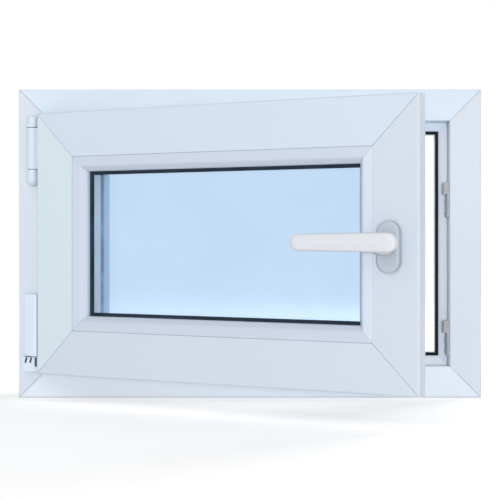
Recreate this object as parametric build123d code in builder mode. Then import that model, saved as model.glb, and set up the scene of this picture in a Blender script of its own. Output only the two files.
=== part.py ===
from build123d import *
import os

# A small white plastic window whose sash hangs on its left side and stands open into the room.
# x runs along the wall, y from the room to the outside and z up. Lengths are in millimetres.
# The origin is the middle of the frame's underside, halfway through its depth.

# Frame profile, from its outer edge inwards and from its room face outwards
frame_width = 600
frame_height = 400
frame_depth = 60
frame_face = 41
lip_height = 17
lip_thickness = 36
lip_fall = 5
lip_nose = 5
channel_depth = 4
channel_width = 5
channel_slope = 2
clip_groove_width = 6
clip_groove_depth = 4
clip_groove_inset = 12

# Sash profile, from the edge of its flange inwards and from its room face outwards
sash_overlap = 8
flange_thickness = 16
flange_gap = 5
rebate_air = 12
lip_gap = 5
body_clearance = 5
sash_depth = 58
sash_face = 57
leg_thickness = 15
leg_fall = 3
leg_nose = 4
hardware_axis = 13
faceplate_groove = 16.4
faceplate_seat = 3
rod_groove_width = 12
rod_groove_depth = 10
sash_opening = 31

# Edges and welded corners
edge_radius = 1.5
flange_radius = 3
weld_groove = 0.5

# Glazing
bead_height = 19
bead_face = 12.5
bead_fall = 1.2
bead_round = 5
bead_edge = 0.6
clip_width = 2.6
clip_height = 3.6
clip_depth = 6
clip_clearance = 0.2
pane_thickness = 4
pane_gap = 16
pane_clearance = 5
spacer_inset = 1.5
spacer_height = 12
seal_thickness = 3
seal_height = 8
seal_show = 4.4
outer_seal_show = 1.5

# Weather seals
seal_foot = 3
seal_width = 4
seal_touch = 0.5
flange_seal_inset = 5
lip_seal_inset = 3

# Hinges
hinge_reach = 12.5
hinge_standoff = 12
knuckle_radius = 8.5
hinge_plate = 2.5
hinge_gap = 0.6
leaf_thickness = 2
leaf_margin = 3
arm_thickness = 6
pin_radius = 3.5
pin_clearance = 0.1
pin_cover = 3
upper_hinge_drop = 2
upper_cap = 15.5
upper_sleeve = 53
upper_foot = 20
cap_bevel = 2.5
foot_bevel = 4
lower_hinge_rise = 2
lower_bracket = 20
lower_cover = 80
band_radius = 6
cover_left = 8
cover_gap = 0.5
cover_front = 10
cover_back = 7
cover_top = 2.5
cover_round = 2.5
cover_bevel = 1.2
cover_clearance = 0.3
bracket_left = 12.5
bracket_right = 8
bracket_round = 1.2
bracket_bevel = 1
slot_width = 2.2
slot_height = 7
slot_drop = 4.5
slot_depth = 3
slot_pitch = 6.1
slot_start = 8
slot_lean = 15
side_slot_width = 2.6
side_slot_height = 11.5
side_slot_drop = 7
side_slot_place = 4.6
adjuster_thickness = 1.5

# Handle
handle_backset = 35
handle_drop = 2.5
rosette_length = 58
rosette_width = 27
rosette_thickness = 8.5
rosette_bevel = 1.8
hub_radius = 8
hub_depth = 4.5
hub_clearance = 0.1
neck_radius = 8
neck_flare = 1.5
neck_lift = 0.4
lever_length = 131
lever_overhang = 22
lever_lift = 5
lever_heel_radius = 11
lever_tip_radius = 9.6
lever_stand = 36
lever_thickness = 11
lever_crown = 1.2
lever_crown_middle = 0.3
lever_edge = 3
lever_edge_middle = 0.9
lever_back_bevel = 1.2
spindle_side = 7
spindle_bore = 6.5
bore_depth = 36
spindle_end_gap = 3.5

# Locking hardware
faceplate_width = 16
faceplate_thickness = 2.5
faceplate_margin = 45
cam_radius = 4.5
cam_neck = 3.2
cam_height = 8
cam_head = 4
head_cam_place = 100
lock_cam_inset = 77
cam_travel = 18
striker_base = 3
striker_height = 7.5
striker_hook = 2.2
striker_hook_length = 16
striker_tail = 30
striker_width = 16
striker_inset = 1
stay_width = 13
stay_thickness = 3
stay_length = 240
stay_start = 60

# Drainage and fixing
drain_length = 26
drain_width = 4
drain_drop = 14
drain_spacing = 300
drain_cap_length = 40
drain_cap_height = 14
drain_cap_thickness = 5
drain_cap_wall = 1.6
drain_cap_bevel = 0.8
fixing_radius = 5
fixing_spacing = 200
fixing_depth = 36

# Places that several pieces share
rebate_depth = frame_depth - lip_thickness
frame_room_face = -frame_depth / 2
frame_lip = frame_face + lip_height
sash_margin = frame_face - sash_overlap
sash_width = frame_width - 2 * sash_margin
sash_height = frame_height - 2 * sash_margin
sash_room_face = frame_room_face - flange_gap - flange_thickness
hardware_edge = sash_overlap + rebate_air
step_depth = flange_thickness + flange_gap + rebate_depth - lip_gap
body_edge = frame_lip - sash_margin + body_clearance
leg_face = sash_depth - leg_thickness
leg_top = sash_face + bead_height
outer_pane_face = leg_face - seal_thickness
inner_pane_face = outer_pane_face - 2 * pane_thickness - pane_gap
bead_depth = inner_pane_face - seal_thickness
pane_edge = sash_face + pane_clearance
hardware_depth = flange_thickness + hardware_axis
handle_x = sash_width / 2 - handle_backset
middle_z = frame_height / 2
sash_top = middle_z + sash_height / 2
sash_bottom = middle_z - sash_height / 2
hinge_x = -sash_width / 2 - hinge_reach
hinge_y = frame_room_face - hinge_standoff
lever_base = rosette_thickness + neck_lift
drain_z = frame_face - channel_depth - drain_drop + drain_width / 2

# The four sides of a rectangle: the way inwards, and the way along the side
sides = {
    "top": (Vector(0, 0, -1), Vector(1, 0, 0)),
    "bottom": (Vector(0, 0, 1), Vector(-1, 0, 0)),
    "left": (Vector(1, 0, 0), Vector(0, 0, 1)),
    "right": (Vector(-1, 0, 0), Vector(0, 0, -1)),
}
closed = Location()
opened = Pos(hinge_x, hinge_y) * Rot(Z=-sash_opening) * Pos(-hinge_x, -hinge_y)

os.makedirs("parts", exist_ok=True)


def write(piece, name):
    """Label a finished piece and write its file."""
    piece.part.label = name
    export_step(piece.part, f"parts/{name}.step")


def placed(plane, pose):
    """A plane carried along by a pose."""
    return Plane(pose * plane.location)


def half_length(side, width, height):
    """Half the length of one side of a rectangle that stands in the wall."""
    along = sides[side][1]
    return abs(along.X) * width / 2 + abs(along.Z) * height / 2


def section_plane(side, width, height, room_face):
    """The plane across the middle of a side: x points inwards from its outer edge,
    y from the room face to the outside."""
    inward, along = sides[side]
    reach = abs(inward.X) * width / 2 + abs(inward.Z) * height / 2
    middle = Vector(0, room_face, middle_z)
    return Plane(middle - inward * reach, x_dir=inward, z_dir=along)


def mitred_member(section, side, width, height, room_face, pose, groove=0):
    """One side of a rectangle with its ends cut at 45 degrees, and a groove along each weld."""
    plane = placed(section_plane(side, width, height, room_face), pose)
    half = half_length(side, width, height)
    extent = section.bounding_box()
    with BuildPart() as member:
        with BuildSketch(plane):
            add(section)
        extrude(amount=half, both=True)
        for way in (1, -1):
            corner = plane.origin + plane.z_dir * (half * way)
            mitre = Plane(corner, z_dir=plane.x_dir + plane.z_dir * way)
            split(bisect_by=mitre, keep=Keep.BOTTOM)
            if groove:
                diagonal = plane.x_dir - plane.z_dir * way
                outside = plane.y_dir * extent.max.Y
                with BuildSketch(
                    Plane(corner, x_dir=mitre.z_dir, z_dir=diagonal),
                    Plane(corner + outside, x_dir=mitre.z_dir, z_dir=diagonal),
                ):
                    Rectangle(groove, groove, rotation=45)
                extrude(amount=2 * extent.max.X, both=True, mode=Mode.SUBTRACT)
    return member


def mitred_loop(section, width, height, room_face, pose):
    """A whole ring of one section, with mitred corners."""
    with BuildPart() as ring:
        for side in sides:
            add(mitred_member(section, side, width, height, room_face, pose).part)
    return ring


# Sections of the long profiles
with BuildSketch() as frame_section:
    with BuildLine():
        Polyline(
            (0, 0),
            (frame_face, 0),
            (frame_face, rebate_depth - channel_width - channel_slope),
            (frame_face - channel_depth, rebate_depth - channel_width),
            (frame_face - channel_depth, rebate_depth),
            (frame_lip, rebate_depth),
            (frame_lip, rebate_depth + lip_nose),
            (frame_lip - lip_fall, frame_depth),
            (0, frame_depth),
            close=True,
        )
    make_face()
    outer_corners = frame_section.vertices().filter_by_position(Axis.X, 0, 0)
    lip_corners = frame_section.vertices().filter_by_position(Axis.X, frame_lip - lip_fall, frame_lip)
    face_corner = frame_section.vertices().filter_by_position(Axis.Y, 0, 0).sort_by(Axis.X)[-1]
    fillet(outer_corners + lip_corners.sort_by(Axis.Y)[1:] + [face_corner], edge_radius)
    for groove_depth in (clip_groove_inset, frame_depth - clip_groove_inset):
        with Locations((0, groove_depth)):
            Rectangle(
                clip_groove_depth,
                clip_groove_width,
                align=(Align.MIN, Align.CENTER),
                mode=Mode.SUBTRACT,
            )
    with Locations((frame_lip - lip_seal_inset, rebate_depth)):
        Rectangle(seal_foot, seal_foot, align=(Align.CENTER, Align.MIN), mode=Mode.SUBTRACT)

with BuildSketch() as sash_section:
    with BuildLine():
        Polyline(
            (0, 0),
            (sash_face, 0),
            (sash_face, leg_face),
            (leg_top, leg_face),
            (leg_top, leg_face + leg_nose),
            (leg_top - leg_fall, sash_depth),
            (body_edge, sash_depth),
            (body_edge, step_depth),
            (hardware_edge, step_depth),
            (hardware_edge, flange_thickness),
            (0, flange_thickness),
            close=True,
        )
    make_face()
    flange_corner = sash_section.vertices().filter_by_position(Axis.Y, 0, 0).sort_by(Axis.X)
    outer_corners = sash_section.vertices().filter_by_position(Axis.Y, sash_depth, sash_depth)
    leg_shoulder = leg_face + leg_nose
    leg_corners = sash_section.vertices().filter_by_position(Axis.Y, leg_shoulder, leg_shoulder)
    fillet(flange_corner[0], flange_radius)
    fillet(outer_corners + leg_corners, edge_radius)
    chamfer(flange_corner[-1], bead_edge)
    with Locations((hardware_edge, hardware_depth)):
        Rectangle(
            faceplate_seat,
            faceplate_groove,
            align=(Align.MIN, Align.CENTER),
            mode=Mode.SUBTRACT,
        )
        Rectangle(
            rod_groove_depth,
            rod_groove_width,
            align=(Align.MIN, Align.CENTER),
            mode=Mode.SUBTRACT,
        )
    with Locations((flange_seal_inset, flange_thickness)):
        Rectangle(seal_foot, seal_foot, align=(Align.CENTER, Align.MAX), mode=Mode.SUBTRACT)
    with Locations((sash_face, clip_depth)):
        Rectangle(
            clip_height + clip_clearance,
            clip_width + 2 * clip_clearance,
            align=(Align.MAX, Align.CENTER),
            mode=Mode.SUBTRACT,
        )

with BuildSketch() as bead_section:
    with BuildLine():
        Polyline(
            (sash_face, bead_edge),
            (sash_face + bead_edge, 0),
            (sash_face + bead_face, bead_fall),
            (leg_top, bead_fall + bead_height - bead_face),
            (leg_top, bead_depth),
            (sash_face, bead_depth),
            close=True,
        )
    make_face()
    shoulder = bead_section.vertices().filter_by_position(Axis.Y, bead_fall, bead_fall)
    nose = bead_section.vertices().filter_by_position(Axis.X, leg_top, leg_top).sort_by(Axis.Y)[0]
    fillet([nose] + shoulder, bead_round)
    with Locations((sash_face, clip_depth)):
        Rectangle(clip_height, clip_width, align=(Align.MAX, Align.CENTER))

with BuildSketch() as lip_seal_section:
    with Locations((frame_lip - lip_seal_inset, rebate_depth)):
        Rectangle(seal_foot, seal_foot, align=(Align.CENTER, Align.MIN))
        Rectangle(seal_width, lip_gap - seal_touch, align=(Align.CENTER, Align.MAX))
    bulb = lip_seal_section.vertices().group_by(Axis.Y)[0]
    fillet(bulb, edge_radius)

with BuildSketch() as flange_seal_section:
    with Locations((flange_seal_inset, flange_thickness)):
        Rectangle(seal_foot, seal_foot, align=(Align.CENTER, Align.MAX))
        Rectangle(seal_width, flange_gap - seal_touch, align=(Align.CENTER, Align.MIN))
    bulb = flange_seal_section.vertices().group_by(Axis.Y)[-1]
    fillet(bulb, edge_radius)


def glazing_seal_section(pane_side, back_side, show):
    """The strip that is pressed between a pane and what holds it, showing past that edge."""
    with BuildSketch() as strip:
        with BuildLine():
            Polyline(
                (leg_top - seal_height, back_side),
                (leg_top - seal_height, pane_side),
                (leg_top + show, pane_side),
                (leg_top, back_side),
                close=True,
            )
        make_face()
    return strip.sketch


with BuildSketch() as spacer_section:
    with Locations((pane_edge + spacer_inset, inner_pane_face + pane_thickness)):
        Rectangle(spacer_height, pane_gap, align=(Align.MIN, Align.MIN))

# Frame members: the sill drains to the outside, and the jambs are drilled for wall screws
sill_plane = section_plane("bottom", frame_width, frame_height, frame_room_face)
channel_floor = Plane(
    sill_plane.origin + sill_plane.x_dir * (frame_face - channel_depth),
    x_dir=sill_plane.z_dir,
    z_dir=sill_plane.x_dir,
)
outer_wall = Plane(
    sill_plane.origin + sill_plane.y_dir * frame_depth,
    x_dir=sill_plane.z_dir,
    z_dir=sill_plane.y_dir,
)
frame_names = {
    "top": "frame_head",
    "bottom": "frame_sill",
    "left": "frame_hinge_jamb",
    "right": "frame_lock_jamb",
}
for side, name in frame_names.items():
    blank = mitred_member(
        frame_section.sketch, side, frame_width, frame_height, frame_room_face, closed, weld_groove
    )
    plane = section_plane(side, frame_width, frame_height, frame_room_face)
    with BuildPart() as frame_member:
        add(blank.part)
        if side in ("left", "right"):
            outer_face = Plane(plane.origin, x_dir=plane.y_dir, z_dir=-plane.x_dir)
            with Locations(outer_face):
                with Locations(
                    (fixing_depth, -fixing_spacing / 2),
                    (fixing_depth, fixing_spacing / 2),
                ):
                    Hole(fixing_radius, depth=frame_lip)
        if side == "bottom":
            inlet_y = -(rebate_depth - channel_width / 2)
            with BuildSketch(channel_floor):
                with Locations((-drain_spacing / 2, inlet_y), (drain_spacing / 2, inlet_y)):
                    SlotOverall(drain_length, drain_width)
            extrude(amount=-drain_drop, mode=Mode.SUBTRACT)
            with BuildSketch(outer_wall):
                with Locations((-drain_spacing / 2, drain_z), (drain_spacing / 2, drain_z)):
                    SlotOverall(drain_length, drain_width)
            extrude(amount=-(lip_thickness + channel_width / 2), mode=Mode.SUBTRACT)
    write(frame_member, name)

# Seal that the closed sash presses against, let into the frame's lip
lip_seal = mitred_loop(lip_seal_section.sketch, frame_width, frame_height, frame_room_face, closed)
write(lip_seal, "frame_seal")

# Sash members: the lock stile is bored for the handle's spindle
handle_plane = placed(
    Plane((handle_x, sash_room_face, middle_z - handle_drop), x_dir=(1, 0, 0), z_dir=(0, -1, 0)),
    opened,
)
sash_names = {
    "top": "sash_top_rail",
    "bottom": "sash_bottom_rail",
    "left": "sash_hinge_stile",
    "right": "sash_lock_stile",
}
for side, name in sash_names.items():
    blank = mitred_member(
        sash_section.sketch, side, sash_width, sash_height, sash_room_face, opened, weld_groove
    )
    with BuildPart() as sash_member:
        add(blank.part)
        if side == "right":
            with Locations(handle_plane):
                Hole(spindle_bore, depth=bore_depth)
    write(sash_member, name)

flange_seal = mitred_loop(
    flange_seal_section.sketch, sash_width, sash_height, sash_room_face, opened
)
write(flange_seal, "sash_seal")

# Glazing beads, clipped into the sash on the room side
bead_names = {
    "top": "bead_top",
    "bottom": "bead_bottom",
    "left": "bead_hinge_side",
    "right": "bead_lock_side",
}
for side, name in bead_names.items():
    bead = mitred_member(
        bead_section.sketch, side, sash_width, sash_height, sash_room_face, opened, weld_groove
    )
    write(bead, name)

# Sealed glass unit: two panes on a spacer, held between two strips
glass_width = sash_width - 2 * pane_edge
glass_height = sash_height - 2 * pane_edge
pane_places = {
    "glass_inner_pane": inner_pane_face,
    "glass_outer_pane": outer_pane_face - pane_thickness,
}
for name, pane_face in pane_places.items():
    pane_plane = Plane(
        (0, sash_room_face + pane_face, middle_z), x_dir=(-1, 0, 0), z_dir=(0, 1, 0)
    )
    with BuildPart() as pane:
        with BuildSketch(placed(pane_plane, opened)):
            Rectangle(glass_width, glass_height)
        extrude(amount=pane_thickness)
    write(pane, name)

spacer = mitred_loop(spacer_section.sketch, sash_width, sash_height, sash_room_face, opened)
write(spacer, "glass_spacer")

inner_strip = glazing_seal_section(inner_pane_face, bead_depth, seal_show)
inner_seal = mitred_loop(inner_strip, sash_width, sash_height, sash_room_face, opened)
write(inner_seal, "glazing_seal_inner")

outer_strip = glazing_seal_section(outer_pane_face, leg_face, outer_seal_show)
outer_seal = mitred_loop(outer_strip, sash_width, sash_height, sash_room_face, opened)
write(outer_seal, "glazing_seal_outer")

# Handle: a stadium rosette, and a lever whose neck turns in it and drives a square spindle
with BuildPart() as rosette:
    with BuildSketch(handle_plane):
        SlotOverall(rosette_length, rosette_width, rotation=90)
    extrude(amount=rosette_thickness)
    room_axis = Axis(handle_plane.origin, handle_plane.z_dir)
    chamfer(rosette.faces().sort_by(room_axis)[-1].edges(), rosette_bevel)
    with Locations(handle_plane.offset(rosette_thickness)):
        CounterBoreHole(spindle_bore, hub_radius + hub_clearance, hub_depth + neck_lift)
write(rosette, "handle_rosette")

lever_back = lever_stand - lever_thickness
lever_shoulder = lever_stand - lever_crown
lever_plane = Plane(handle_plane.origin, x_dir=-handle_plane.x_dir, z_dir=handle_plane.z_dir)


def lever_half_section(radius):
    """Half of the lever's section: across it, and out from the sash, with a crowned front
    and a bevelled edge."""
    with BuildSketch() as half:
        with BuildLine():
            Polyline(
                (0, lever_stand),
                ((radius - lever_edge) / 2, lever_stand - lever_crown_middle),
                (radius - lever_edge, lever_shoulder),
                (radius - lever_edge_middle, lever_shoulder - lever_edge_middle),
                (radius, lever_shoulder - lever_edge),
                (radius, lever_back + lever_back_bevel),
                (radius - lever_back_bevel, lever_back),
                (0, lever_back),
                close=True,
            )
        make_face()
    return half.sketch


def lever_cross_plane(place):
    """The plane across the lever at a place along it."""
    origin = lever_plane.origin + lever_plane.x_dir * place - lever_plane.y_dir * lever_lift
    return Plane(origin, x_dir=lever_plane.y_dir, z_dir=lever_plane.x_dir)


heel_place = lever_heel_radius - lever_overhang
tip_place = lever_length - lever_overhang - lever_tip_radius
lever_ends = ((heel_place, lever_heel_radius, 1), (tip_place, lever_tip_radius, -1))
with BuildPart() as lever:
    for place, radius, way in lever_ends:
        with BuildSketch(lever_cross_plane(place)):
            add(lever_half_section(radius))
            mirror(about=Plane.YZ)
    loft(ruled=True)
    for place, radius, way in lever_ends:
        end_plane = lever_cross_plane(place)
        with BuildSketch(end_plane):
            add(lever_half_section(radius))
        revolve(axis=Axis(end_plane.origin, end_plane.y_dir * way), revolution_arc=180)
    with Locations(lever_plane.offset(lever_base)):
        Cone(
            neck_radius + neck_flare,
            neck_radius,
            lever_back - lever_base,
            align=(Align.CENTER, Align.CENTER, Align.MIN),
        )
        Cylinder(hub_radius, hub_depth, align=(Align.CENTER, Align.CENTER, Align.MAX))
write(lever, "handle_lever")

spindle_start = lever_base - hub_depth
with BuildPart() as spindle:
    with BuildSketch(handle_plane.offset(spindle_start)):
        Rectangle(spindle_side, spindle_side)
    extrude(amount=-(spindle_start + bore_depth - spindle_end_gap))
write(spindle, "handle_spindle")

# Upper hinge: two knuckles on a plate on the frame, and a sleeve between them on the sash
hinge_plane = Plane((hinge_x, hinge_y, 0))
sash_hinge_plane = placed(hinge_plane, opened)
upper_top = sash_top - upper_hinge_drop
upper_cap_base = upper_top - upper_cap
upper_sleeve_base = upper_cap_base - hinge_gap - upper_sleeve
upper_foot_base = upper_sleeve_base - hinge_gap - upper_foot
flange_middle = sash_room_face + flange_thickness / 2 - hinge_y


def leaf_section(radius):
    """A round sleeve with an arm and a leaf that lies on the edge of the sash's flange."""
    with BuildSketch() as section:
        Circle(radius)
        with Locations((0, flange_middle)):
            Rectangle(hinge_reach, arm_thickness, align=(Align.MIN, Align.CENTER))
        with Locations((hinge_reach, flange_middle)):
            Rectangle(
                leaf_thickness,
                flange_thickness - 2 * leaf_margin,
                align=(Align.MAX, Align.CENTER),
            )
    return section.sketch


with BuildPart() as upper_bearing:
    for base, height in ((upper_foot_base, upper_foot), (upper_cap_base, upper_cap)):
        with BuildSketch(hinge_plane.offset(base)):
            Circle(knuckle_radius)
            Rectangle(2 * knuckle_radius, hinge_standoff, align=(Align.CENTER, Align.MIN))
        extrude(amount=height)
    chamfer(upper_bearing.faces().sort_by(Axis.Z)[-1].edges().sort_by(Axis.Y)[:-1], cap_bevel)
    chamfer(upper_bearing.faces().sort_by(Axis.Z)[0].edges().sort_by(Axis.Y)[:-1], foot_bevel)
    with BuildSketch(hinge_plane.offset(upper_foot_base + foot_bevel)):
        with Locations((0, hinge_standoff)):
            Rectangle(2 * knuckle_radius, hinge_plate, align=(Align.CENTER, Align.MAX))
    extrude(amount=upper_top - upper_foot_base - foot_bevel - cap_bevel)
    with BuildSketch(hinge_plane.offset(upper_foot_base + pin_cover)):
        Circle(pin_radius + pin_clearance)
    extrude(amount=upper_top - upper_foot_base - 2 * pin_cover, mode=Mode.SUBTRACT)
write(upper_bearing, "upper_hinge_bearing")

with BuildPart() as upper_pin:
    with BuildSketch(hinge_plane.offset(upper_foot_base + pin_cover)):
        Circle(pin_radius)
    extrude(amount=upper_top - upper_foot_base - 2 * pin_cover)
write(upper_pin, "upper_hinge_pin")

with BuildPart() as upper_leaf:
    with BuildSketch(sash_hinge_plane.offset(upper_sleeve_base)):
        add(leaf_section(knuckle_radius))
        Circle(pin_radius + pin_clearance, mode=Mode.SUBTRACT)
    extrude(amount=upper_sleeve)
write(upper_leaf, "upper_hinge_sleeve")

# Lower hinge: a bracket on the frame carries a pin, and the sash's band stands on it under a cover
bracket_base = sash_bottom + lower_hinge_rise
bracket_top = bracket_base + lower_bracket
band_base = bracket_top + hinge_gap
band_height = lower_cover - cover_top
pin_base = bracket_base + pin_cover
pin_top = band_base + band_height - pin_cover
bracket_front = Plane((hinge_x, hinge_y - cover_front, bracket_top), x_dir=(1, 0, 0), z_dir=(0, -1, 0))


def adjuster_slots():
    """Two leaning slots for the adjusting screws, and an upright one beside the sash."""
    with BuildSketch() as slots:
        with Locations((-slot_start, -slot_drop), (slot_pitch - slot_start, -slot_drop)):
            Rectangle(slot_width, slot_height, rotation=-slot_lean)
        with Locations((side_slot_place, -side_slot_drop)):
            Rectangle(side_slot_width, side_slot_height)
    return slots.sketch


with BuildPart() as lower_bracket_block:
    with BuildSketch(hinge_plane.offset(bracket_base)) as bracket_outline:
        with Locations((-bracket_left, -cover_front)):
            Rectangle(
                bracket_left + bracket_right,
                cover_front + hinge_standoff,
                align=(Align.MIN, Align.MIN),
            )
        fillet(bracket_outline.vertices().group_by(Axis.Y)[0], bracket_round)
    extrude(amount=lower_bracket)
    bracket_bottom = lower_bracket_block.faces().sort_by(Axis.Z)[0]
    chamfer(bracket_bottom.edges().sort_by(Axis.Y)[:-1], bracket_bevel)
    with BuildSketch(bracket_front):
        add(adjuster_slots())
    extrude(amount=-slot_depth, mode=Mode.SUBTRACT)
    with BuildSketch(hinge_plane.offset(pin_base)):
        Circle(pin_radius + pin_clearance)
    extrude(amount=lower_bracket, mode=Mode.SUBTRACT)
write(lower_bracket_block, "lower_hinge_bracket")

with BuildPart() as adjusters:
    with BuildSketch(bracket_front.offset(-slot_depth)):
        add(adjuster_slots())
    extrude(amount=adjuster_thickness)
write(adjusters, "lower_hinge_adjusters")

with BuildPart() as lower_pin:
    with BuildSketch(hinge_plane.offset(pin_base)):
        Circle(pin_radius)
    extrude(amount=pin_top - pin_base)
write(lower_pin, "lower_hinge_pin")

with BuildPart() as band:
    with BuildSketch(sash_hinge_plane.offset(band_base)):
        add(leaf_section(band_radius))
    extrude(amount=band_height)
    with BuildSketch(sash_hinge_plane.offset(band_base)):
        Circle(pin_radius + pin_clearance)
    extrude(amount=pin_top - band_base, mode=Mode.SUBTRACT)
write(band, "lower_hinge_band")

with BuildPart() as cover:
    with BuildSketch(sash_hinge_plane.offset(band_base)) as cover_outline:
        with Locations((-cover_left, -cover_front)):
            Rectangle(
                cover_left + hinge_reach - cover_gap,
                cover_front + cover_back,
                align=(Align.MIN, Align.MIN),
            )
        fillet(cover_outline.vertices(), cover_round)
    extrude(amount=lower_cover)
    chamfer(cover.faces().sort_by(Axis.Z)[-1].edges(), cover_bevel)
    with BuildSketch(sash_hinge_plane.offset(band_base)):
        Circle(band_radius + cover_clearance)
        with Locations((0, flange_middle)):
            Rectangle(
                hinge_reach,
                arm_thickness + 2 * cover_clearance,
                align=(Align.MIN, Align.CENTER),
            )
        with Locations((hinge_reach, flange_middle)):
            Rectangle(
                leaf_thickness + cover_clearance,
                flange_thickness - 2 * leaf_margin + 2 * cover_clearance,
                align=(Align.MAX, Align.CENTER),
            )
    extrude(amount=band_height, mode=Mode.SUBTRACT)
write(cover, "lower_hinge_cover")

# Locking hardware: steel faceplates in the sash's groove with cams, and strikers in the frame
faceplate_face = hardware_edge + faceplate_seat - faceplate_thickness


def hardware_plane(side):
    """The plane on a faceplate's outer face: x along the side, z out of the sash."""
    plane = placed(section_plane(side, sash_width, sash_height, sash_room_face), opened)
    middle = plane.origin + plane.x_dir * faceplate_face + plane.y_dir * hardware_depth
    return Plane(middle, x_dir=plane.z_dir, z_dir=-plane.x_dir)


for side, name in {"right": "lock_faceplate", "top": "top_faceplate"}.items():
    faceplate_length = 2 * half_length(side, sash_width, sash_height) - 2 * faceplate_margin
    with BuildPart() as faceplate:
        with BuildSketch(hardware_plane(side)):
            SlotOverall(faceplate_length, faceplate_width)
        extrude(amount=-faceplate_thickness)
    write(faceplate, name)

lock_cam_place = sash_height / 2 - lock_cam_inset
cam_places = {
    "lock_cam_upper": ("right", -lock_cam_place),
    "lock_cam_lower": ("right", lock_cam_place),
    "head_cam": ("top", head_cam_place),
}
for name, (side, place) in cam_places.items():
    with BuildPart() as cam:
        with BuildSketch(hardware_plane(side)):
            with Locations((place, 0)):
                RegularPolygon(cam_neck, side_count=6)
        extrude(amount=cam_height)
        with BuildSketch(hardware_plane(side).offset(cam_height)):
            with Locations((place, 0)):
                Circle(cam_radius)
        extrude(amount=-cam_head)
    write(cam, name)

with BuildPart() as stay:
    with BuildSketch(hardware_plane("top")):
        with Locations((-sash_width / 2 + stay_start + stay_length / 2, 0)):
            SlotOverall(stay_length, stay_width)
    extrude(amount=stay_thickness)
write(stay, "stay_arm")


def make_striker(side, place):
    """A keeper on the rebate floor: a screwed plate with a hook on its room side."""
    plane = section_plane(side, frame_width, frame_height, frame_room_face)
    floor = Plane(plane.origin + plane.x_dir * frame_face, x_dir=plane.z_dir, z_dir=plane.x_dir)
    hook_start = place + cam_travel - striker_hook_length / 2
    with BuildPart() as striker:
        with BuildSketch(floor):
            with Locations((hook_start, -striker_inset)):
                Rectangle(
                    striker_hook_length + striker_tail,
                    striker_width,
                    align=(Align.MIN, Align.MAX),
                )
        extrude(amount=striker_base)
        with BuildSketch(floor):
            with Locations((hook_start, -striker_inset)):
                Rectangle(striker_hook_length, striker_hook, align=(Align.MIN, Align.MAX))
        extrude(amount=striker_height)
    return striker


striker_names = {
    "lock_cam_upper": "striker_upper",
    "lock_cam_lower": "striker_lower",
    "head_cam": "striker_head",
}
for cam_name, name in striker_names.items():
    write(make_striker(*cam_places[cam_name]), name)

# Hooded caps over the sill's drain slots, open underneath
cap_hollow = drain_cap_thickness - drain_cap_wall
drain_cap_places = {
    "drain_cap_left": drain_spacing / 2,
    "drain_cap_right": -drain_spacing / 2,
}
for name, place in drain_cap_places.items():
    with BuildPart() as drain_cap:
        with BuildSketch(outer_wall):
            with Locations((place, drain_z)):
                Rectangle(drain_cap_length, drain_cap_height)
        extrude(amount=drain_cap_thickness)
        chamfer(drain_cap.faces().sort_by(Axis.Y)[-1].edges(), drain_cap_bevel)
        with BuildSketch(outer_wall):
            with Locations((place, drain_z - drain_cap_wall)):
                Rectangle(drain_cap_length - 2 * drain_cap_wall, drain_cap_height)
        extrude(amount=cap_hollow, mode=Mode.SUBTRACT)
    write(drain_cap, name)
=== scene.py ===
# %% [markdown]
# # A small white plastic window with its sash standing open
# The window is one welded plastic frame with a glazed sash hung on its left side. The shapes come
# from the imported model, one node for each piece. This lesson dresses those nodes: it softens their
# edges, gives each material its own grain, adds the small fasteners, and sets up light and camera.

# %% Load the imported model
import math

import bmesh
import bpy
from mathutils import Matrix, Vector


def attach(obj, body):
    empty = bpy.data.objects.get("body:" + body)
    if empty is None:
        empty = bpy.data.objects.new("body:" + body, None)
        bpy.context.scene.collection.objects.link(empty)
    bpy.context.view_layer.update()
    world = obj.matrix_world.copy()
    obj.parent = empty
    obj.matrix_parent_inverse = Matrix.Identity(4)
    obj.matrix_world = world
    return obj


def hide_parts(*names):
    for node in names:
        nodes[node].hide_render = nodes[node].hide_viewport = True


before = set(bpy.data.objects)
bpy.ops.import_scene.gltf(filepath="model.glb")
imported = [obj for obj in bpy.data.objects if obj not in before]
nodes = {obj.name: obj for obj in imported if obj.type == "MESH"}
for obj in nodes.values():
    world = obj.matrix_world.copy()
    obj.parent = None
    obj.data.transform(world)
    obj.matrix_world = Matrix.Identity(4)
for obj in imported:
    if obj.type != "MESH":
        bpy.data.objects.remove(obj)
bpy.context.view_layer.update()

# %% [markdown]
# ## How far the sash is turned
# Grain and screws on the sash have to follow its turn. The turn could be typed in again, but then
# it could disagree with the model. The largest face of the inner pane already looks straight out of
# the sash into the room, so its normal gives the turn.

# %% Read the sash's turn from the pane
pane_mesh = nodes["glass_inner_pane"].data
pane_face = max((f for f in pane_mesh.polygons if f.normal.y < 0), key=lambda f: f.area)
to_room = Vector((pane_face.normal.x, pane_face.normal.y, 0)).normalized()
to_lock = Vector((-to_room.y, to_room.x, 0))
upwards = Vector((0, 0, 1))
sash_turn = math.atan2(to_lock.y, to_lock.x)
print("sash turned by", round(math.degrees(sash_turn), 2), "degrees")

# %% [markdown]
# ## Camera
# The picture looks straight at the frame from a little over the middle of its height. Its upright
# edges stay upright, so the camera is level, and a small shift of the lens puts the window slightly
# above the middle of the picture instead of tilting the camera.

# %% Place the camera
image_long_side = 500
focal_pixels = 1450
sensor_width = 36
camera_data = bpy.data.cameras.new("Picture camera")
camera_data.sensor_width = sensor_width
camera_data.lens = focal_pixels * sensor_width / image_long_side
camera_data.shift_y = -0.0252
camera = bpy.data.objects.new("Picture camera", camera_data)
camera.location = (-0.002, -1.912, 0.208)
camera.rotation_euler = (math.radians(90), 0, 0)
bpy.context.scene.collection.objects.link(camera)
bpy.context.scene.camera = camera
print("lens", round(camera_data.lens, 1), "mm at", [round(v, 3) for v in camera.location])

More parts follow.
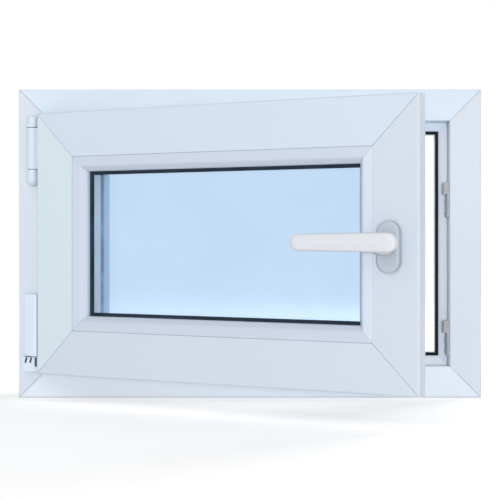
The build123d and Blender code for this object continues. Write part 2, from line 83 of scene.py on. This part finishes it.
# %% [markdown]
# ## Floor, background and light
# The window stands on a pale floor. The floor glows a little more where the lamps no longer reach,
# so it fades into the background and still keeps the window's shadow. The world is plain white
# where the camera, a reflection or a pane looks at it, and dimmer as a light, so the white plastic
# keeps its shading. Three soft lamps could stand close by, but a near lamp lights the open sash
# much more than the frame behind it. So the front lamp is far away and low, where it also reaches
# the frame under the sash, and it is hidden from reflections, so it leaves no bright spot in the
# flat faces. The key lamp, above and to the left, gives the undersides of the beads their grey and
# rounds the hinges. The third one lights the outside of the window.

# %% Make the floor
def new_material(name):
    """An empty node material and its output node."""
    material = bpy.data.materials.new(name)
    material.use_nodes = True
    material.node_tree.nodes.clear()
    return material, material.node_tree.nodes.new("ShaderNodeOutputMaterial")


def background_rays(tree):
    """1 for a ray that looks at the background: straight, through a pane or by a reflection."""
    path = tree.nodes.new("ShaderNodeLightPath")
    value = path.outputs["Is Camera Ray"]
    for ray in ("Is Transmission Ray", "Is Glossy Ray"):
        either = tree.nodes.new("ShaderNodeMath")
        either.operation = "MAXIMUM"
        tree.links.new(value, either.inputs[0])
        tree.links.new(path.outputs[ray], either.inputs[1])
        value = either.outputs["Value"]
    return value


floor_size = 60
floor_mesh = bpy.data.meshes.new("Studio floor")
corners = [(x * floor_size, y * floor_size, 0) for x, y in ((-1, -1), (1, -1), (1, 1), (-1, 1))]
floor_mesh.from_pydata(corners, [], [(0, 1, 2, 3)])
floor = bpy.data.objects.new("Studio floor", floor_mesh)
bpy.context.scene.collection.objects.link(floor)
floor_paint, floor_output = new_material("floor paint")
tree = floor_paint.node_tree
matt = tree.nodes.new("ShaderNodeBsdfDiffuse")
matt.inputs["Color"].default_value = (0.9, 0.9, 0.9, 1)
lift = tree.nodes.new("ShaderNodeEmission")
floor_place = tree.nodes.new("ShaderNodeTexCoord")
distance = tree.nodes.new("ShaderNodeVectorMath")
distance.operation = "LENGTH"
fade = tree.nodes.new("ShaderNodeMapRange")
fade.inputs["From Min"].default_value = 0.5
fade.inputs["From Max"].default_value = 1.8
fade.inputs["To Min"].default_value = 0.42
fade.inputs["To Max"].default_value = 0.63
dim = tree.nodes.new("ShaderNodeMath")
dim.operation = "MULTIPLY"
both = tree.nodes.new("ShaderNodeAddShader")
tree.links.new(floor_place.outputs["Object"], distance.inputs[0])
tree.links.new(distance.outputs["Value"], fade.inputs["Value"])
tree.links.new(background_rays(tree), dim.inputs[0])
tree.links.new(fade.outputs["Result"], dim.inputs[1])
tree.links.new(dim.outputs["Value"], lift.inputs["Strength"])
tree.links.new(matt.outputs["BSDF"], both.inputs[0])
tree.links.new(lift.outputs["Emission"], both.inputs[1])
tree.links.new(both.outputs["Shader"], floor_output.inputs["Surface"])
floor_mesh.materials.append(floor_paint)
print("floor", 2 * floor_size, "m wide")

# %% Make the background and the lamps
ambient = 0.42
world = bpy.data.worlds.new("White room")
bpy.context.scene.world = world
world.use_nodes = True
tree = world.node_tree
tree.nodes.clear()
strength = tree.nodes.new("ShaderNodeMapRange")
strength.inputs["To Min"].default_value = ambient
strength.inputs["To Max"].default_value = 1
background = tree.nodes.new("ShaderNodeBackground")
background.inputs["Color"].default_value = (1, 1, 1, 1)
world_output = tree.nodes.new("ShaderNodeOutputWorld")
tree.links.new(background_rays(tree), strength.inputs["Value"])
tree.links.new(strength.outputs["Result"], background.inputs["Strength"])
tree.links.new(background.outputs["Background"], world_output.inputs["Surface"])


def soft_lamp(name, place, target, size, power):
    """A square lamp that looks at a point."""
    data = bpy.data.lights.new(name, "AREA")
    data.size = size
    data.energy = power
    lamp = bpy.data.objects.new(name, data)
    lamp.location = place
    lamp.rotation_euler = (Vector(target) - Vector(place)).to_track_quat("-Z", "Y").to_euler()
    bpy.context.scene.collection.objects.link(lamp)
    return lamp


frame_middle = (0, 0, 0.2)
sash_middle = (0, -0.1, 0.2)
soft_lamp("Key lamp", (-1.1, -2, 1.8), sash_middle, 1.4, 7.5)
front_lamp = soft_lamp("Front lamp", (0.25, -6, 0.42), sash_middle, 0.8, 184)
front_lamp.visible_glossy = False
soft_lamp("Outside lamp", (1.5, 1.5, 1.2), frame_middle, 1, 22)
bpy.context.scene.view_settings.view_transform = "Standard"
print("ambient light", ambient, "and", len(bpy.data.lights), "lamps")

# %% [markdown]
# ## White plastic
# The profiles are extruded from white plastic, which is smooth and slightly glossy. Close up it has
# faint streaks along the length of each member and a very fine grain. Its colour darkens in the
# joints, which is painted shade together with some dust. The streaks could be painted, but noise
# stretched along the member needs no painting: a Mapping node turns it with the sash and stretches
# it along the member.

# %% Write the plastic's node tree
def noise(tree, vector, scale, detail=2):
    """A noise texture on a vector."""
    texture = tree.nodes.new("ShaderNodeTexNoise")
    texture.inputs["Scale"].default_value = scale
    texture.inputs["Detail"].default_value = detail
    tree.links.new(vector, texture.inputs["Vector"])
    return texture.outputs["Fac"]


def spread(tree, value, low, high):
    """A noise value brought to a range."""
    ranged = tree.nodes.new("ShaderNodeMapRange")
    ranged.interpolation_type = "SMOOTHSTEP"
    ranged.inputs["From Min"].default_value = 0.25
    ranged.inputs["From Max"].default_value = 0.75
    ranged.inputs["To Min"].default_value = low
    ranged.inputs["To Max"].default_value = high
    tree.links.new(value, ranged.inputs["Value"])
    return ranged.outputs["Result"]


def blend(tree, factor, first, second):
    """Two colours mixed by a value."""
    mixed = tree.nodes.new("ShaderNodeMix")
    mixed.data_type = "RGBA"
    tree.links.new(factor, mixed.inputs["Factor"])
    for socket, colour in ((mixed.inputs["A"], first), (mixed.inputs["B"], second)):
        if isinstance(colour, tuple):
            socket.default_value = (*colour, 1)
        else:
            tree.links.new(colour, socket)
    return mixed.outputs["Result"]


def bumps(tree, height, depth, strength, under=None):
    """A bump of a real depth in metres, on top of another one."""
    bump = tree.nodes.new("ShaderNodeBump")
    bump.inputs["Distance"].default_value = depth
    bump.inputs["Strength"].default_value = strength
    tree.links.new(height, bump.inputs["Height"])
    if under:
        tree.links.new(under, bump.inputs["Normal"])
    return bump.outputs["Normal"]


def object_place(tree):
    """Object coordinates, in metres."""
    return tree.nodes.new("ShaderNodeTexCoord").outputs["Object"]


def stretched(tree, vector, turn, stretch):
    """Coordinates turned with a piece, then stretched by a length on each axis."""
    mapping = tree.nodes.new("ShaderNodeMapping")
    mapping.vector_type = "TEXTURE"
    mapping.inputs["Rotation"].default_value = (0, 0, turn)
    mapping.inputs["Scale"].default_value = stretch
    tree.links.new(vector, mapping.inputs["Vector"])
    return mapping.outputs["Vector"]


def scaled(colour, factor):
    """A colour made lighter or darker."""
    return tuple(min(1, channel * factor) for channel in colour)


def shade_and_dust_in_joints(tree, colour, shade_and_dust, reach):
    """A colour that darkens in narrow joints: painted shade, with some dust."""
    # Ambient occlusion darkens the colour where nearby surfaces block the light: painted shade, with
    # some dust.
    corners = tree.nodes.new("ShaderNodeAmbientOcclusion")
    corners.inputs["Distance"].default_value = reach
    corners.samples = 8
    return blend(tree, corners.outputs["AO"], shade_and_dust, colour)


def white_plastic(name, colour, turn, stretch, gloss=0.3, shade_and_dust=0.72, reach=0.004):
    """Extruded plastic with streaks along the member, fine grain, and painted shade with dust in
    joints.
    """
    material, output = new_material(name)
    tree = material.node_tree
    shader = tree.nodes.new("ShaderNodeBsdfPrincipled")
    plain = object_place(tree)
    streaks = noise(tree, stretched(tree, plain, turn, stretch), 1, 3)
    clouds = noise(tree, plain, 7, 3)
    grain = noise(tree, plain, 1500)
    tone = blend(tree, spread(tree, clouds, 0, 1), scaled(colour, 0.995), scaled(colour, 1.005))
    tone = blend(tree, spread(tree, streaks, 0, 0.5), tone, scaled(colour, 0.99))
    # Painted shade and dust: the colour darkens in joints within a few millimetres.
    tone = shade_and_dust_in_joints(tree, tone, scaled(colour, shade_and_dust), reach)
    normal = bumps(tree, streaks, 0.00006, 0.12)
    normal = bumps(tree, grain, 0.00003, 0.06, normal)
    tree.links.new(tone, shader.inputs["Base Color"])
    tree.links.new(spread(tree, clouds, gloss - 0.02, gloss + 0.02), shader.inputs["Roughness"])
    tree.links.new(normal, shader.inputs["Normal"])
    shader.inputs["Coat Weight"].default_value = 0.15
    shader.inputs["Coat Roughness"].default_value = 0.18
    tree.links.new(shader.outputs["BSDF"], output.inputs["Surface"])
    return material


across_x = (0.6, 0.004, 0.004)
across_z = (0.004, 0.004, 0.6)
bead_gloss = 0.24
# Painted light and shade: each frame member is its own copy of the plastic, toned to how it is lit.
# The sill is lighter, against the shade that the sash casts on it.
profile_plastics = {
    "frame head": white_plastic("frame plastic head", (0.685, 0.781, 0.89), 0, across_x),
    "frame sill": white_plastic("frame plastic sill", (0.765, 0.82, 0.89), 0, across_x),
    "frame jamb": white_plastic("frame plastic upright", (0.676, 0.732, 0.804), 0, across_z),
}
# The sash members are lit and shaded copies too: the lock side darker, the hinge side lighter and
# greener.
sash_lit_tones = {
    "sash top": ((0.64, 0.73, 0.838), across_x),
    "sash bottom": ((0.64, 0.709, 0.797), across_x),
    "sash hinge side": ((0.67, 0.778, 0.838), across_z),
    "sash lock side": ((0.63, 0.697, 0.788), across_z),
}
for place, (colour, grain_way) in sash_lit_tones.items():
    name = place.replace("sash", "sash plastic")
    profile_plastics[place] = white_plastic(name, colour, sash_turn, grain_way)
bead_white = (0.605, 0.667, 0.775)
# The beads are lit and shaded copies as well: the lock side's is lighter and the rails' a little
# darker.
bead_lit_tones = {
    "bead across": (scaled(bead_white, 0.995), across_x),
    "bead upright": (bead_white, across_z),
    "bead lock side": (scaled(bead_white, 1.14), across_z),
}
for place, (colour, grain_way) in bead_lit_tones.items():
    name = place.replace("bead", "bead plastic")
    profile_plastics[place] = white_plastic(name, colour, sash_turn, grain_way, bead_gloss)
print("white plastics:", len(profile_plastics))

# %% [markdown]
# ## Softened edges
# No moulded or welded edge is quite sharp, and a rounded edge catches a thin line of light. The
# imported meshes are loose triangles, so each piece is a copy whose points are merged and whose flat
# faces are joined. A Bevel then rounds the edges, and Weighted Normal keeps the flat faces flat.
# The finished mesh stands in for its node.

# %% Dress the long profiles
merge_distance = 0.000004
flat_angle = math.radians(0.6)


def dress(node, material, width, segments=2, edge_angle=32):
    """A copy of a node with soft edges and its own material, which stands for that node."""
    mesh = nodes[node].data.copy()
    for name in ("custom_normal", "sharp_face", "sharp_edge"):
        if name in mesh.attributes:
            mesh.attributes.remove(mesh.attributes[name])
    shape = bmesh.new()
    shape.from_mesh(mesh)
    bmesh.ops.remove_doubles(shape, verts=shape.verts, dist=merge_distance)
    bmesh.ops.dissolve_limit(shape, angle_limit=flat_angle, verts=shape.verts, edges=shape.edges)
    for face in shape.faces:
        face.smooth = True
    shape.to_mesh(mesh)
    shape.free()
    mesh.materials.clear()
    mesh.materials.append(material)
    piece = bpy.data.objects.new(node + ".dressed", mesh)
    bpy.context.scene.collection.objects.link(piece)
    rounding = piece.modifiers.new("Soft edges", "BEVEL")
    rounding.width = width
    rounding.segments = segments
    rounding.limit_method = "ANGLE"
    rounding.angle_limit = math.radians(edge_angle)
    rounding.use_clamp_overlap = False
    shading = piece.modifiers.new("Flat faces", "WEIGHTED_NORMAL")
    shading.weight = 100
    return settle(piece, node)


def settle(piece, node):
    """Turn a piece's modifiers into a plain mesh, and let it ride and stand for its node."""
    graph = bpy.context.evaluated_depsgraph_get()
    finished = bpy.data.meshes.new_from_object(piece.evaluated_get(graph))
    piece.modifiers.clear()
    piece.data = finished
    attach(piece, "root")
    if node:
        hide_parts(node)
    return piece


profile_edge = 0.0003
profile_finishes = {
    "frame_head": ("frame head", "frame_plastic"),
    "frame_sill": ("frame sill", "frame_plastic"),
    "frame_hinge_jamb": ("frame jamb", "frame_plastic"),
    "frame_lock_jamb": ("frame jamb", "frame_plastic"),
    "sash_top_rail": ("sash top", "sash_plastic"),
    "sash_bottom_rail": ("sash bottom", "sash_plastic"),
    "sash_hinge_stile": ("sash hinge side", "sash_plastic"),
    "sash_lock_stile": ("sash lock side", "sash_plastic"),
    "bead_top": ("bead across", "bead_plastic"),
    "bead_bottom": ("bead across", "bead_plastic"),
    "bead_hinge_side": ("bead upright", "bead_plastic"),
    "bead_lock_side": ("bead lock side", "bead_plastic"),
}
for node, (place, slot) in profile_finishes.items():
    piece = dress(node, profile_plastics[place], profile_edge)
    print(node, len(piece.data.polygons), "faces")

# %% [markdown]
# ## Seals
# The weather seals are black rubber pressed into grooves. The strip that holds the glass on the
# room side is a softer, bluish black, and the outer one is light grey. Rubber has a matt skin with
# a faint shine and fine specks of dust, so its colour and roughness both follow a fine noise.

# %% Dress the seals
def rubber(name, colour, shine):
    """Matt rubber with a fine uneven skin."""
    material, output = new_material(name)
    tree = material.node_tree
    shader = tree.nodes.new("ShaderNodeBsdfPrincipled")
    plain = object_place(tree)
    skin = noise(tree, plain, 900, 4)
    wear = noise(tree, plain, 40, 3)
    tone = blend(tree, spread(tree, wear, 0, 1), scaled(colour, 0.8), scaled(colour, 1.5))
    tree.links.new(tone, shader.inputs["Base Color"])
    tree.links.new(spread(tree, skin, shine, shine + 0.2), shader.inputs["Roughness"])
    tree.links.new(bumps(tree, skin, 0.00008, 0.3), shader.inputs["Normal"])
    shader.inputs["Specular IOR Level"].default_value = 0.2
    tree.links.new(shader.outputs["BSDF"], output.inputs["Surface"])
    return material


weather_rubber = rubber("weather seal rubber", (0.006, 0.007, 0.01), 0.5)
glazing_rubber = rubber("glazing strip rubber", (0.01, 0.02, 0.034), 0.42)
outer_rubber = rubber("outer strip rubber", (0.6, 0.64, 0.68), 0.5)
seal_edge = 0.0003
seal_rubbers = {
    "frame_seal": weather_rubber,
    "sash_seal": weather_rubber,
    "glazing_seal_inner": glazing_rubber,
    "glazing_seal_outer": outer_rubber,
}
for node, material in seal_rubbers.items():
    dress(node, material, seal_edge)
print(len(seal_rubbers), "seals dressed")

# %% [markdown]
# ## Glass unit
# The two panes are clear glass with a light blue tint. Glass could be modelled with refraction, but
# a flat pane hardly moves what is seen through it. A tinted see-through shader looks the same, lets
# the light through to the floor and stays free of noise. Its share of reflection is 4 per cent from
# the front and rises with the fifth power of the slant. The facing value serves both sides of a
# pane alike. A soft noise in the roughness stands for the film that a real pane has.

# %% Dress the panes and the spacer
def pane_glass(name, tint):
    """See-through glass that mirrors more where it is seen at a slant."""
    material, output = new_material(name)
    tree = material.node_tree
    plain = object_place(tree)
    film = noise(tree, plain, 12, 3)
    clear = tree.nodes.new("ShaderNodeBsdfTransparent")
    tone = blend(tree, spread(tree, film, 0, 1), scaled(tint, 0.99), tint)
    tree.links.new(tone, clear.inputs["Color"])
    mirror = tree.nodes.new("ShaderNodeBsdfGlossy")
    tree.links.new(spread(tree, film, 0.005, 0.02), mirror.inputs["Roughness"])
    slant = tree.nodes.new("ShaderNodeLayerWeight")
    slant.inputs["Blend"].default_value = 0.5
    rise = tree.nodes.new("ShaderNodeMath")
    rise.operation = "POWER"
    rise.inputs[1].default_value = 5
    share = tree.nodes.new("ShaderNodeMapRange")
    share.inputs["To Min"].default_value = 0.04
    share.inputs["To Max"].default_value = 1
    tree.links.new(slant.outputs["Facing"], rise.inputs[0])
    tree.links.new(rise.outputs["Value"], share.inputs["Value"])
    mix = tree.nodes.new("ShaderNodeMixShader")
    tree.links.new(share.outputs["Result"], mix.inputs["Fac"])
    tree.links.new(clear.outputs["BSDF"], mix.inputs[1])
    tree.links.new(mirror.outputs["BSDF"], mix.inputs[2])
    tree.links.new(mix.outputs["Shader"], output.inputs["Surface"])
    return material


tinted_glass = pane_glass("tinted pane glass", (0.868, 0.932, 0.994))
for node in ("glass_inner_pane", "glass_outer_pane"):
    nodes[node].data.materials.clear()
    nodes[node].data.materials.append(tinted_glass)


def moulded_grey(name, colour, roughness):
    """Plain moulded plastic with a fine matt texture and painted shade in its joints."""
    material, output = new_material(name)
    tree = material.node_tree
    shader = tree.nodes.new("ShaderNodeBsdfPrincipled")
    plain = object_place(tree)
    clouds = noise(tree, plain, 30, 3)
    pits = noise(tree, plain, 1200, 3)
    tone = blend(tree, spread(tree, clouds, 0, 1), scaled(colour, 0.94), scaled(colour, 1.04))
    # The colour darkens in narrow joints: painted shade, with some dust.
    tone = shade_and_dust_in_joints(tree, tone, scaled(colour, 0.6), 0.003)
    sheen = spread(tree, clouds, roughness - 0.06, roughness + 0.06)
    tree.links.new(tone, shader.inputs["Base Color"])
    tree.links.new(sheen, shader.inputs["Roughness"])
    tree.links.new(bumps(tree, pits, 0.00006, 0.3), shader.inputs["Normal"])
    tree.links.new(shader.outputs["BSDF"], output.inputs["Surface"])
    return material


spacer_grey = moulded_grey("spacer grey", (0.84, 0.85, 0.86), 0.4)
drain_plastic = moulded_grey("drain cap plastic", (0.66, 0.72, 0.78), 0.45)
dress("glass_spacer", spacer_grey, profile_edge)
for node in ("drain_cap_left", "drain_cap_right"):
    dress(node, drain_plastic, profile_edge)
print("panes, spacer and drain caps dressed")

# %% [markdown]
# ## Handle
# The lever and its rosette are cast metal under a smooth white paint. The rosette's paint is a
# darker copy, painted shade from the lever that stands over it. The lever has a crowned front and
# well rounded edges, so its bevel is wider and has more steps than on the profiles. Paint has a
# slight orange-peel, which a shallow noise of about a millimetre gives.

# %% Dress the handle
def lever_paint(name, colour):
    """Powder paint over cast metal: satin, with a shallow orange-peel and painted shade in its
    joints.
    """
    material, output = new_material(name)
    tree = material.node_tree
    shader = tree.nodes.new("ShaderNodeBsdfPrincipled")
    plain = object_place(tree)
    peel = noise(tree, plain, 700, 2)
    wear = noise(tree, plain, 25, 3)
    tone = blend(tree, spread(tree, wear, 0, 1), scaled(colour, 0.995), scaled(colour, 1.005))
    # Painted shade: the colour darkens towards half where the lever's neck meets the rosette and the
    # sash.
    tone = shade_and_dust_in_joints(tree, tone, scaled(colour, 0.5), 0.016)
    tree.links.new(tone, shader.inputs["Base Color"])
    tree.links.new(spread(tree, wear, 0.27, 0.31), shader.inputs["Roughness"])
    tree.links.new(bumps(tree, peel, 0.00005, 0.25), shader.inputs["Normal"])
    shader.inputs["Coat Weight"].default_value = 0.3
    shader.inputs["Coat Roughness"].default_value = 0.15
    tree.links.new(shader.outputs["BSDF"], output.inputs["Surface"])
    return material


lever_white = lever_paint("lever paint", (0.724, 0.744, 0.786))
# Painted shade: the rosette's copy of the paint is darker for the lever's shadow on it.
rosette_shaded_paint = lever_paint("rosette paint", (0.488, 0.549, 0.628))
lever = dress("handle_lever", lever_white, 0.0011, 4, 18)
rosette = dress("handle_rosette", rosette_shaded_paint, 0.0008, 3, 30)
print("lever", len(lever.data.polygons), "faces, rosette", len(rosette.data.polygons))

# %% [markdown]
# ## Hinges
# The upper hinge is a white sleeve between two knuckles, and the lower one a steel band under a
# clip-on white cover over an adjustable bracket. The mouldings are glossier than the profiles, and
# the barrel lies in the corner beside the sash, so its painted shade and dust reach further than on
# a flat face. The cover's white is lighter, painted light for a turned and shaded piece. The pins,
# the band and the adjusters are bare steel with the fine scratches of drawn metal.

# %% Dress the hinges
def drawn_steel(name, colour, roughness, turn=0, stretch=(0.003, 0.003, 0.05)):
    """Zinc-coated steel with scratches along the way it was drawn."""
    material, output = new_material(name)
    tree = material.node_tree
    shader = tree.nodes.new("ShaderNodeBsdfPrincipled")
    plain = object_place(tree)
    scratches = noise(tree, stretched(tree, plain, turn, stretch), 3, 4)
    spangle = noise(tree, plain, 220, 2)
    tone = blend(tree, spread(tree, spangle, 0, 1), scaled(colour, 0.94), scaled(colour, 1.04))
    tree.links.new(tone, shader.inputs["Base Color"])
    sheen = spread(tree, scratches, roughness - 0.05, roughness + 0.05)
    tree.links.new(sheen, shader.inputs["Roughness"])
    tree.links.new(bumps(tree, scratches, 0.00004, 0.12), shader.inputs["Normal"])
    shader.inputs["Metallic"].default_value = 1
    tree.links.new(shader.outputs["BSDF"], output.inputs["Surface"])
    return material


hinge_gloss = 0.22
hinge_tone = (0.69, 0.79, 0.9)
# Painted light: the cover's tone is a lighter copy of the moulding white, for a turned and shaded
# piece.
cover_lit_tone = (0.72, 0.824, 0.96)
# Painted shade: the moulding's colour darkens to half within 12 mm, in the barrel's corner beside
# the sash.
hinge_white = white_plastic(
    "hinge moulding plastic", hinge_tone, 0, across_z, hinge_gloss, shade_and_dust=0.5, reach=0.012
)
cover_white = white_plastic("hinge cover plastic", cover_lit_tone, 0, across_z, hinge_gloss)
hinge_steel = drawn_steel("hinge steel", (0.5, 0.51, 0.53), 0.34)
adjuster_steel = drawn_steel("adjuster steel", (0.1, 0.11, 0.13), 0.4)
moulded_edge = 0.0006
steel_edge = 0.0003
for node in ("upper_hinge_bearing", "upper_hinge_sleeve", "lower_hinge_bracket"):
    dress(node, hinge_white, moulded_edge, 3, 30)
dress("lower_hinge_cover", cover_white, moulded_edge, 3, 30)
for node in ("upper_hinge_pin", "lower_hinge_pin", "lower_hinge_band"):
    dress(node, hinge_steel, steel_edge)
dress("lower_hinge_adjusters", adjuster_steel, 0.0002)
print("hinges dressed")

# %% [markdown]
# ## Locking hardware
# Steel faceplates lie in the groove round the sash, with mushroom cams that slide behind the
# strikers on the frame. All of it is zinc-coated, so one steel serves, with its scratches turned
# along each plate.

# %% Dress the hardware
zinc = (0.62, 0.63, 0.65)
drawn_up = (0.002, 0.002, 0.08)
drawn_along = (0.08, 0.002, 0.002)
plate_steel = drawn_steel("plate steel upright", zinc, 0.3, sash_turn, drawn_up)
rail_steel = drawn_steel("plate steel across", zinc, 0.3, sash_turn, drawn_along)
dark_steel = drawn_steel("cam steel", (0.42, 0.43, 0.45), 0.36)
striker_steel = drawn_steel("striker steel", (0.46, 0.47, 0.49), 0.5)
dress("lock_faceplate", plate_steel, steel_edge)
for node in ("top_faceplate", "stay_arm"):
    dress(node, rail_steel, steel_edge)
for node in ("striker_upper", "striker_lower", "striker_head"):
    dress(node, striker_steel, steel_edge)
for node in ("lock_cam_upper", "lock_cam_lower", "head_cam", "handle_spindle"):
    dress(node, dark_steel, 0.0004)
print("hardware dressed")

# %% [markdown]
# ## Screws
# Each plate is held by cross-head screws, and the stay arm turns on two of them. They are all one
# shape in several places, so Geometry Nodes make them: a low cone with a cross cut out of it, set
# on each marked point, turned to that point's outward way and spun by a seeded amount.

# %% Write the screw tree
def add_input(tree, name, kind):
    """A named input of a tree, known by its identifier."""
    return tree.interface.new_socket(name, in_out="INPUT", socket_type=kind).identifier


def screw_tree():
    """Cross-head screws on the points of a mesh, turned to each point's outward way."""
    tree = bpy.data.node_groups.new("Cross-head screws", "GeometryNodeTree")
    names = {"points": add_input(tree, "Points", "NodeSocketGeometry")}
    names["radius"] = add_input(tree, "Head radius", "NodeSocketFloat")
    names["height"] = add_input(tree, "Head height", "NodeSocketFloat")
    names["slot"] = add_input(tree, "Cross width", "NodeSocketFloat")
    names["seed"] = add_input(tree, "Seed", "NodeSocketInt")
    names["finish"] = add_input(tree, "Finish", "NodeSocketMaterial")
    tree.interface.new_socket("Screws", in_out="OUTPUT", socket_type="NodeSocketGeometry")
    given = tree.nodes.new("NodeGroupInput")
    result = tree.nodes.new("NodeGroupOutput")
    link = tree.links.new

    head = tree.nodes.new("GeometryNodeMeshCone")
    head.inputs["Vertices"].default_value = 24
    top = tree.nodes.new("ShaderNodeMath")
    top.operation = "MULTIPLY"
    top.inputs[1].default_value = 0.78
    link(given.outputs["Head radius"], top.inputs[0])
    link(top.outputs["Value"], head.inputs["Radius Top"])
    link(given.outputs["Head radius"], head.inputs["Radius Bottom"])
    link(given.outputs["Head height"], head.inputs["Depth"])

    cut = tree.nodes.new("GeometryNodeMeshBoolean")
    cut.operation = "DIFFERENCE"
    link(head.outputs["Mesh"], cut.inputs["Mesh 1"])
    for long_axis, wide_axis in (("X", "Y"), ("Y", "X")):
        size = tree.nodes.new("ShaderNodeCombineXYZ")
        link(given.outputs["Head radius"], size.inputs[long_axis])
        link(given.outputs["Cross width"], size.inputs[wide_axis])
        link(given.outputs["Head height"], size.inputs["Z"])
        bar = tree.nodes.new("GeometryNodeMeshCube")
        link(size.outputs["Vector"], bar.inputs["Size"])
        lift = tree.nodes.new("ShaderNodeCombineXYZ")
        link(given.outputs["Head height"], lift.inputs["Z"])
        raised = tree.nodes.new("GeometryNodeTransform")
        link(lift.outputs["Vector"], raised.inputs["Translation"])
        link(bar.outputs["Mesh"], raised.inputs["Geometry"])
        link(raised.outputs["Geometry"], cut.inputs["Mesh 2"])

    way = tree.nodes.new("GeometryNodeInputNamedAttribute")
    way.data_type = "FLOAT_VECTOR"
    way.inputs["Name"].default_value = "outward"
    facing = tree.nodes.new("FunctionNodeAlignRotationToVector")
    facing.axis = "Z"
    link(way.outputs["Attribute"], facing.inputs["Vector"])
    chance = tree.nodes.new("FunctionNodeRandomValue")
    chance.inputs["Max"].default_value = math.pi
    link(given.outputs["Seed"], chance.inputs["Seed"])
    spin = tree.nodes.new("FunctionNodeAxisAngleToRotation")
    spin.inputs["Axis"].default_value = (0, 0, 1)
    link(chance.outputs[1], spin.inputs["Angle"])
    turned = tree.nodes.new("FunctionNodeRotateRotation")
    turned.rotation_space = "LOCAL"
    link(facing.outputs["Rotation"], turned.inputs["Rotation"])
    link(spin.outputs["Rotation"], turned.inputs["Rotate By"])

    rows = tree.nodes.new("GeometryNodeInstanceOnPoints")
    link(given.outputs["Points"], rows.inputs["Points"])
    link(cut.outputs["Mesh"], rows.inputs["Instance"])
    link(turned.outputs["Rotation"], rows.inputs["Rotation"])
    real = tree.nodes.new("GeometryNodeRealizeInstances")
    link(rows.outputs["Instances"], real.inputs["Geometry"])
    finish = tree.nodes.new("GeometryNodeSetMaterial")
    link(real.outputs["Geometry"], finish.inputs["Geometry"])
    link(given.outputs["Finish"], finish.inputs["Material"])
    link(finish.outputs["Geometry"], result.inputs["Screws"])
    return tree, names


screws, screw_inputs = screw_tree()
print("screw tree with", len(screws.nodes), "nodes")

# %% Mark the screw places
def reach(node, direction):
    """The furthest a node goes each way along a direction."""
    along = [v.co.dot(direction) for v in nodes[node].data.vertices]
    return min(along), max(along)


def on_face(node, outward, along, steps, sink=0):
    """Points on a node's outer face, at steps in metres from its middle along it."""
    across = outward.cross(along)
    middle = sum(reach(node, across)) / 2
    centre = sum(reach(node, along)) / 2
    face = reach(node, outward)[1] - sink
    return [(outward * face + across * middle + along * (centre + step), outward) for step in steps]


to_hinge = Vector((-1, 0, 0))
downwards = -upwards
lock_steps = (-0.112, -0.06, 0.06, 0.112)
top_steps = (0.06, 0.135, 0.205)
stay_steps = (-0.112, 0.112)
hook_height = 0.0045
places = on_face("lock_faceplate", to_lock, upwards, lock_steps)
places += on_face("top_faceplate", upwards, to_lock, top_steps)
places += on_face("stay_arm", upwards, to_lock, stay_steps)
for node in ("striker_upper", "striker_lower"):
    places += on_face(node, to_hinge, upwards, (-0.016, -0.003), hook_height)
places += on_face("striker_head", downwards, Vector((1, 0, 0)), (0.003, 0.016), hook_height)
print(len(places), "screws marked")

# %% Set the screws
def points_mesh(name, places):
    """A mesh of points that each know their outward way."""
    mesh = bpy.data.meshes.new(name)
    mesh.from_pydata([tuple(place) for place, outward in places], [], [])
    ways = mesh.attributes.new("outward", "FLOAT_VECTOR", "POINT")
    for index, (place, outward) in enumerate(places):
        ways.data[index].vector = outward
    return mesh


screw_piece = bpy.data.objects.new("cross_head_screws", points_mesh("cross_head_screws", places))
bpy.context.scene.collection.objects.link(screw_piece)
setting = screw_piece.modifiers.new("Screws", "NODES")
setting.node_group = screws
screw_settings = {
    "radius": 0.0032,
    "height": 0.0009,
    "slot": 0.0008,
    "seed": 3,
    "finish": drawn_steel("screw steel", (0.5, 0.51, 0.53), 0.3),
}
for name, value in screw_settings.items():
    setting[screw_inputs[name]] = value
settle(screw_piece, None)
print("screws", len(screw_piece.data.polygons), "faces")
